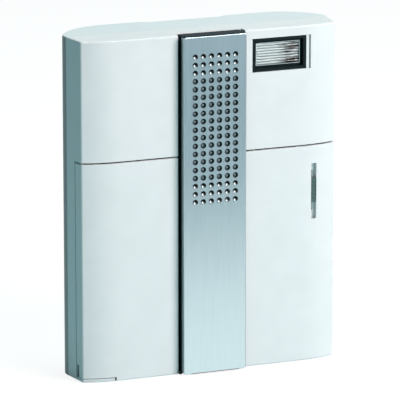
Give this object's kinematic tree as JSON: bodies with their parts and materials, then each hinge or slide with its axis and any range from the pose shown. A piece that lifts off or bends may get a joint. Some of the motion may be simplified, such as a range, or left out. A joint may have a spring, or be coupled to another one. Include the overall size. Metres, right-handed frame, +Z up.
{
  "type": "doorbell chime box",
  "caption": "Wall-mounted doorbell chime box with a perforated metal bar over its speaker, a flash window, a battery door and a control door with a volume slider.",
  "frame": {"origin": "middle of the flat back, on the wall plane", "axes": "+X to the right seen from the front, +Y from the front into the wall, +Z up"},
  "size_m": [0.1466, 0.047, 0.18],
  "materials": {
    "white_plastic": "satin",
    "brushed_bar": "brushed lengthwise",
    "black_plastic": "fine texture",
    "speaker_cloth": "woven",
    "plated_steel": "zinc plated",
    "basket_steel": "satin",
    "yoke_steel": "plated",
    "magnet": "matt",
    "cone_paper": "pressed paper",
    "coil_wire": "wound",
    "soft_rubber": "matt",
    "clear_lens": "ribbed",
    "tube_glass": "clear",
    "tube_end": "matt",
    "bright_reflector": "polished",
    "circuit_board": "lacquered",
    "capacitor_can": "sleeved",
    "resistor_body": "lacquered",
    "coil_core": "wound",
    "guide_plastic": "matt",
    "knob_plastic": "matt",
    "dial_plastic": "matt",
    "button_plastic": "gloss",
    "terminal_plastic": "gloss",
    "cell_jacket": "plain sleeve",
    "lead_jacket": "soft"
  },
  "bodies": {
    "chime_box": {"front_cover": "white_plastic", "rear_housing": "white_plastic", "flash_surround": "white_plastic", "bar_trim": "brushed_bar", "bar_carrier": "black_plastic", "flash_frame": "black_plastic", "battery_tray": "black_plastic", "chips": "black_plastic", "dial_switch": "black_plastic", "slider_body": "black_plastic", "learn_switch": "black_plastic", "grille_cloth": "speaker_cloth", "hinge_pins": "plated_steel", "bar_screws": "plated_steel", "cover_screws": "plated_steel", "speaker_screws": "plated_steel", "board_screws": "plated_steel", "terminal_screws": "plated_steel", "battery_plates": "plated_steel", "battery_springs": "plated_steel", "speaker_basket": "basket_steel", "speaker_yoke": "yoke_steel", "receiver_can": "yoke_steel", "speaker_magnet": "magnet", "speaker_cone": "cone_paper", "dust_cap": "cone_paper", "voice_coil": "coil_wire", "speaker_gasket": "soft_rubber", "cable_grommet": "soft_rubber", "flash_lens": "clear_lens", "flash_tube": "tube_glass", "flash_tube_ends": "tube_end", "flash_reflector": "bright_reflector", "main_board": "circuit_board", "receiver_board": "circuit_board", "speaker_tag": "circuit_board", "capacitors": "capacitor_can", "flash_capacitor": "capacitor_can", "resistors": "resistor_body", "trigger_coil": "coil_core", "slider_guide": "guide_plastic", "terminal_block": "terminal_plastic", "battery_cell_1": "cell_jacket", "battery_cell_2": "cell_jacket", "battery_cell_3": "cell_jacket", "battery_cell_4": "cell_jacket", "battery_leads": "lead_jacket", "speaker_leads": "lead_jacket"},
    "left_door": {"left_door": "white_plastic"},
    "right_door": {"right_door": "white_plastic"},
    "volume_knob": {"volume_knob": "knob_plastic"},
    "melody_dial": {"melody_dial": "dial_plastic"},
    "learn_button": {"learn_button": "button_plastic"}
  },
  "joints": [
    {"name": "left_door_hinge", "type": "hinge", "parent": "chime_box", "child": "left_door", "pos_m": [-0.022, -0.0392, -0.03], "axis": [0, 0, 1], "range_deg": [0, 95]},
    {"name": "right_door_hinge", "type": "hinge", "parent": "chime_box", "child": "right_door", "pos_m": [0.022, -0.0392, -0.03], "axis": [0, 0, -1], "range_deg": [0, 95]},
    {"name": "volume_slide", "type": "slide", "parent": "chime_box", "child": "volume_knob", "axis": [0, 0, 1], "range_m": [-0.0087, 0.0077]},
    {"name": "melody_turn", "type": "hinge", "parent": "chime_box", "child": "melody_dial", "pos_m": [0.0425, -0.0285, -0.01], "axis": [0, 1, 0], "range_deg": [-150, 150]},
    {"name": "learn_press", "type": "slide", "parent": "chime_box", "child": "learn_button", "axis": [0, 1, 0], "range_m": [0, 0.0005], "stiffness_N_per_m": 400}
  ]
}
